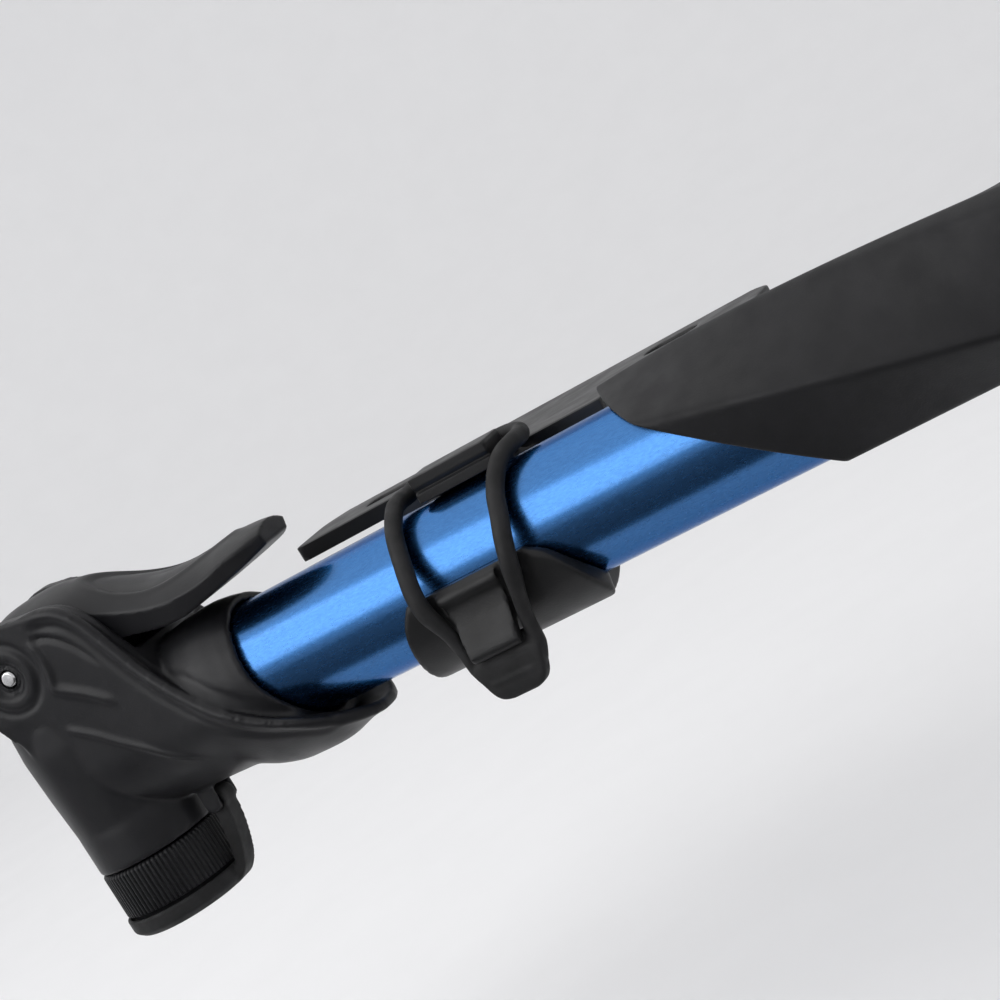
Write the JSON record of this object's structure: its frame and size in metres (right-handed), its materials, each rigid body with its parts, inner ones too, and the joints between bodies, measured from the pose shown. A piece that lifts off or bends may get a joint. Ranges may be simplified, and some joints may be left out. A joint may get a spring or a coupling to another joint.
{
  "type": "bicycle mini pump",
  "caption": "Slim hand pump with a fold-over lever valve head and a sliding handle, strapped into a bolt-on clip for a bicycle frame.",
  "frame": {"origin": "middle of the underside of the clip's plate, where it sits on the bicycle's frame tube", "axes": "+X along the barrel from the valve head to the handle, +Z out of the frame tube, -Y towards the pump's outer side"},
  "size_m": [0.2711, 0.064, 0.0645],
  "materials": {
    "clip_plastic": "satin black moulded plastic",
    "head_plastic": "satin black moulded plastic",
    "handle_plastic": "matte black moulded plastic with a fine grain",
    "blue_anodised": "blue anodised, fine satin",
    "bright_steel": "bright turned steel",
    "rod_aluminium": "plain drawn aluminium",
    "black_rubber": "matte moulded rubber",
    "inner_plastic": "plain moulded plastic"
  },
  "bodies": {
    "clip_and_barrel": {"bracket": "clip_plastic", "barrel": "blue_anodised", "head_body": "head_plastic", "lever_pin": "bright_steel", "barrel_gasket": "black_rubber", "check_valve_seat": "inner_plastic", "check_spring": "bright_steel", "valve_grommet": "black_rubber", "rod_guide": "inner_plastic", "handle_catch_ring": "black_rubber", "strap_loop": "black_rubber"},
    "piston": {"piston_head": "inner_plastic", "piston_seal": "black_rubber"},
    "handle": {"piston_rod": "rod_aluminium", "rod_bumper": "black_rubber", "rod_nut": "bright_steel", "handle_shell": "handle_plastic", "handle_end_cap": "handle_plastic"},
    "lever": {"lever": "head_plastic"},
    "plunger": {"plunger": "inner_plastic", "plunger_lower_seal": "black_rubber", "plunger_upper_seal": "black_rubber"},
    "collar": {"valve_collar": "head_plastic"},
    "cap": {"dust_cap": "black_rubber"},
    "strap_pad": {"strap_tab": "black_rubber"},
    "poppet": {"check_valve": "black_rubber"}
  },
  "joints": [
    {"name": "handle_stroke", "type": "slide", "parent": "clip_and_barrel", "child": "piston", "axis": [1, 0, 0], "range_m": [0, 0.175]},
    {"name": "handle_spin", "type": "hinge", "parent": "piston", "child": "handle", "pos_m": [-0.059, -0.037, -0.01], "axis": [1, 0, 0], "continuous": true},
    {"name": "lever_swing", "type": "hinge", "parent": "clip_and_barrel", "child": "lever", "pos_m": [-0.092, -0.037, 0.0112], "axis": [0, -1, 0], "range_deg": [0, 90]},
    {"name": "plunger_push", "type": "slide", "parent": "clip_and_barrel", "child": "plunger", "axis": [0, 0, -1], "range_m": [0, 0.0026], "deforming": ["valve_grommet"]},
    {"name": "collar_turn", "type": "hinge", "parent": "clip_and_barrel", "child": "collar", "pos_m": [-0.092, -0.037, -0.0403], "axis": [0, 0, 1], "continuous": true},
    {"name": "cap_swing", "type": "hinge", "parent": "clip_and_barrel", "child": "cap", "pos_m": [-0.075, -0.037, -0.0275], "axis": [0, -1, 0], "range_deg": [0, 95]},
    {"name": "strap_pull", "type": "slide", "parent": "clip_and_barrel", "child": "strap_pad", "axis": [0, -0.1513, -0.9885], "range_m": [0, 0.008], "stiffness_N_per_m": 600, "deforming": ["strap_loop"]},
    {"name": "check_lift", "type": "slide", "parent": "clip_and_barrel", "child": "poppet", "axis": [-1, 0, 0], "range_m": [0, 0.001], "stiffness_N_per_m": 150, "deforming": ["check_spring"]}
  ],
  "couplings": [
    {"joint": "plunger_push", "follows": "lever_swing", "m_per_rad": 0.00159}
  ]
}
